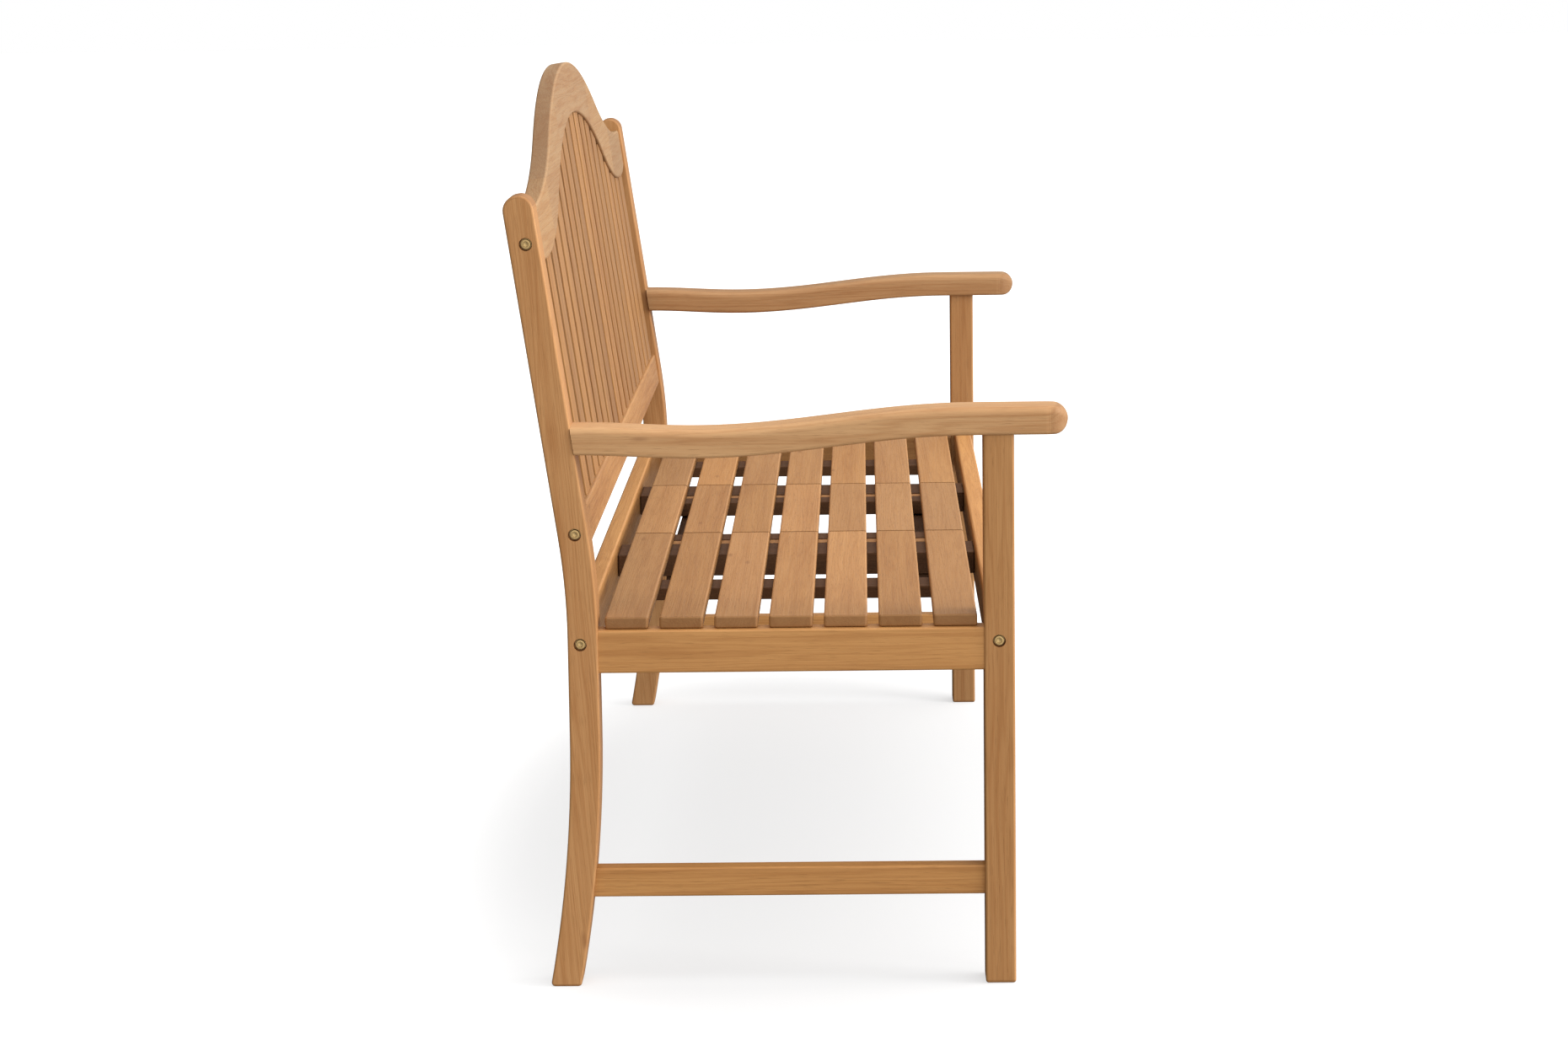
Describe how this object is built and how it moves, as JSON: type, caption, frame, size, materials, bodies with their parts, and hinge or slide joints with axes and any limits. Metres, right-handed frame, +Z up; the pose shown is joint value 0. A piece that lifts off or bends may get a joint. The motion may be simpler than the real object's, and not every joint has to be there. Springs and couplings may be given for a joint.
{
  "type": "garden bench",
  "caption": "Wooden garden bench with a camel-back crest rail, vertical back slats, curved arm rests and a slatted seat whose middle lifts up as a table.",
  "frame": {"origin": "on the ground, under the middle of the bench's bounding box", "axes": "+X along the bench, to the sitter's left as they sit; +Y to the back; +Z up; the sitter faces -Y"},
  "size_m": [1.586, 0.6456, 1.0365],
  "materials": {
    "frame_wood": "oiled hardwood, satin",
    "rail_wood": "oiled hardwood, satin",
    "slat_wood": "oiled hardwood, satin",
    "back_slat_wood": "oiled hardwood, satin",
    "under_wood": "oiled hardwood, matt",
    "pin_steel": "yellow zinc-plated steel"
  },
  "bodies": {
    "root": {"arm_rest_left": "frame_wood", "arm_rest_right": "frame_wood", "back_slat_1": "back_slat_wood", "back_slat_10": "back_slat_wood", "back_slat_11": "back_slat_wood", "back_slat_12": "back_slat_wood", "back_slat_13": "back_slat_wood", "back_slat_14": "back_slat_wood", "back_slat_15": "back_slat_wood", "back_slat_16": "back_slat_wood", "back_slat_17": "back_slat_wood", "back_slat_18": "back_slat_wood", "back_slat_19": "back_slat_wood", "back_slat_2": "back_slat_wood", "back_slat_3": "back_slat_wood", "back_slat_4": "back_slat_wood", "back_slat_5": "back_slat_wood", "back_slat_6": "back_slat_wood", "back_slat_7": "back_slat_wood", "back_slat_8": "back_slat_wood", "back_slat_9": "back_slat_wood", "crest_rail": "frame_wood", "front_leg_left": "frame_wood", "front_leg_right": "frame_wood", "front_seat_rail": "rail_wood", "lower_back_rail": "rail_wood", "lower_stretcher_left": "rail_wood", "lower_stretcher_right": "rail_wood", "pivot_pin_front_left": "pin_steel", "pivot_pin_front_right": "pin_steel", "pivot_pin_rear_left": "pin_steel", "pivot_pin_rear_right": "pin_steel", "rear_post_left": "frame_wood", "rear_post_right": "frame_wood", "rear_seat_rail": "rail_wood", "seam_rail_left": "under_wood", "seam_rail_right": "under_wood", "seat_batten_left": "under_wood", "seat_batten_right": "under_wood", "seat_slat_left_1": "slat_wood", "seat_slat_left_2": "slat_wood", "seat_slat_left_3": "slat_wood", "seat_slat_left_4": "slat_wood", "seat_slat_left_5": "slat_wood", "seat_slat_left_6": "slat_wood", "seat_slat_left_7": "slat_wood", "seat_slat_right_1": "slat_wood", "seat_slat_right_2": "slat_wood", "seat_slat_right_3": "slat_wood", "seat_slat_right_4": "slat_wood", "seat_slat_right_5": "slat_wood", "seat_slat_right_6": "slat_wood", "seat_slat_right_7": "slat_wood", "side_rail_left": "rail_wood", "side_rail_right": "rail_wood", "table_spreader_front": "under_wood", "table_spreader_rear": "under_wood"},
    "front_swing": {"swing_frame_front": "under_wood"},
    "table": {"table_top": "slat_wood"},
    "rear_swing": {"swing_frame_rear": "under_wood"}
  },
  "joints": [
    {"name": "table_lift", "type": "hinge", "parent": "root", "child": "front_swing", "pos_m": [0, -0.19276, 0.41], "axis": [1, 0, 0], "range_deg": [0, 100]},
    {"name": "table_level", "type": "hinge", "parent": "front_swing", "child": "table", "pos_m": [0, -0.02376, 0.41], "axis": [1, 0, 0], "range_deg": [-100, 0]},
    {"name": "rear_swing_turn", "type": "hinge", "parent": "root", "child": "rear_swing", "pos_m": [0, 0.01224, 0.41], "axis": [1, 0, 0], "range_deg": [0, 100]}
  ],
  "couplings": [
    {"joint": "table_level", "follows": "table_lift", "ratio": -1},
    {"joint": "rear_swing_turn", "follows": "table_lift", "ratio": 1}
  ]
}
